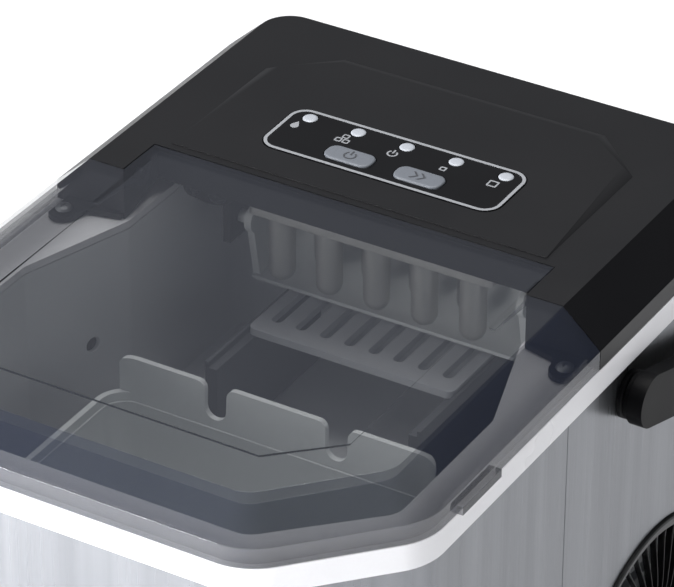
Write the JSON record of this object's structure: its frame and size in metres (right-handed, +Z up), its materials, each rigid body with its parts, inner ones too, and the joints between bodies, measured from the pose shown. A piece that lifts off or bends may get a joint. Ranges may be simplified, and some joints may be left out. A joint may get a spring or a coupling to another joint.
{
  "type": "ice maker",
  "caption": "Countertop ice maker with a flip-up smoke-clear lid, black control cover, steel sides with round vents, lift-out basket and a folding carry bail.",
  "frame": {"origin": "on the ground under the middle of the machine's bounding box, folded bail included", "axes": "+Z up, -Y towards the front, where the lid opens, +X to the right of someone facing the front"},
  "size_m": [0.2414, 0.3318, 0.3069],
  "materials": {
    "black_plastic": "satin black moulded plastic",
    "white_plastic": "white moulded plastic",
    "grey_plastic": "grey moulded plastic",
    "vent_plastic": "black moulded grille",
    "smoke_clear": "smoke-tinted clear plastic",
    "brushed_steel": "vertical brushed stainless sheet",
    "plated_steel": "zinc-plated steel",
    "black_metal": "black enamelled steel",
    "nickel": "nickel-plated copper",
    "aluminium": "bare fins",
    "copper": "drawn copper tube",
    "rubber": "soft black rubber",
    "label": "printed overlay film",
    "lamp": "frosted light pipe",
    "board": "green circuit board",
    "hose": "translucent silicone"
  },
  "bodies": {
    "housing": {"base_tray": "black_plastic", "foot_front_left": "rubber", "foot_front_right": "rubber", "foot_rear_left": "rubber", "foot_rear_right": "rubber", "front_panel": "brushed_steel", "side_panel_left": "brushed_steel", "side_panel_right": "brushed_steel", "rear_panel": "black_plastic", "top_frame": "white_plastic", "control_cover": "black_plastic", "cover_screw_left": "plated_steel", "cover_screw_right": "plated_steel", "panel_label": "label", "lamp_1": "lamp", "lamp_2": "lamp", "lamp_3": "lamp", "lamp_4": "lamp", "lamp_5": "lamp", "control_board": "board", "ice_tub": "white_plastic", "evaporator": "nickel", "evaporator_bracket": "plated_steel", "trough_motor": "plated_steel", "trough_bearing": "black_plastic", "shovel_rail_left": "white_plastic", "shovel_rail_right": "white_plastic", "ice_sensor": "black_plastic", "vent_left": "vent_plastic", "vent_right": "vent_plastic", "condenser": "aluminium", "fan_shroud": "black_plastic", "fan_motor": "plated_steel", "fan_bracket": "plated_steel", "compressor": "black_metal", "filter_drier": "copper", "suction_pipe": "copper", "water_pump": "black_plastic", "pump_hose": "hose", "drain_spout": "white_plastic", "power_board": "board", "mains_inlet": "black_plastic", "bail_boss_left": "black_plastic", "bail_boss_right": "black_plastic", "bail_bumper_left": "rubber", "bail_bumper_right": "rubber"},
    "lid": {"lid": "smoke_clear", "hinge_pin_left": "plated_steel", "hinge_pin_right": "plated_steel"},
    "bail": {"carry_bail": "black_plastic"},
    "power_button": {"power_button": "grey_plastic"},
    "select_button": {"select_button": "grey_plastic"},
    "fan": {"fan_blade": "white_plastic"},
    "trough": {"water_trough": "white_plastic"},
    "shovel": {"ice_shovel": "grey_plastic"},
    "basket": {"ice_basket": "white_plastic"},
    "drain_plug": {"drain_plug": "rubber"}
  },
  "joints": [
    {"name": "lid_hinge", "type": "hinge", "parent": "housing", "child": "lid", "pos_m": [0, 0.0063, 0.299], "axis": [-1, 0, 0], "range_deg": [0, 90]},
    {"name": "bail_hinge", "type": "hinge", "parent": "housing", "child": "bail", "pos_m": [0, 0.0223, 0.26], "axis": [1, 0, 0], "range_deg": [0, 105]},
    {"name": "power_button_press", "type": "slide", "parent": "housing", "child": "power_button", "axis": [0, 0.018, -0.9998], "range_m": [0, 0.0008], "stiffness_N_per_m": 600},
    {"name": "select_button_press", "type": "slide", "parent": "housing", "child": "select_button", "axis": [0, 0.018, -0.9998], "range_m": [0, 0.0008], "stiffness_N_per_m": 600},
    {"name": "fan_spin", "type": "hinge", "parent": "housing", "child": "fan", "pos_m": [0.0683, 0.0473, 0.121], "axis": [1, 0, 0], "continuous": true},
    {"name": "trough_tilt", "type": "hinge", "parent": "housing", "child": "trough", "pos_m": [0, 0.0453, 0.267], "axis": [-1, 0, 0], "range_deg": [0, 60]},
    {"name": "shovel_slide", "type": "slide", "parent": "housing", "child": "shovel", "axis": [0, -1, 0], "range_m": [0, 0.042]},
    {"name": "basket_lift", "type": "slide", "parent": "housing", "child": "basket", "axis": [0, 0, 1], "range_m": [0, 0.035]},
    {"name": "drain_plug_pull", "type": "slide", "parent": "housing", "child": "drain_plug", "axis": [0, 1, 0], "range_m": [0, 0.015]}
  ]
}
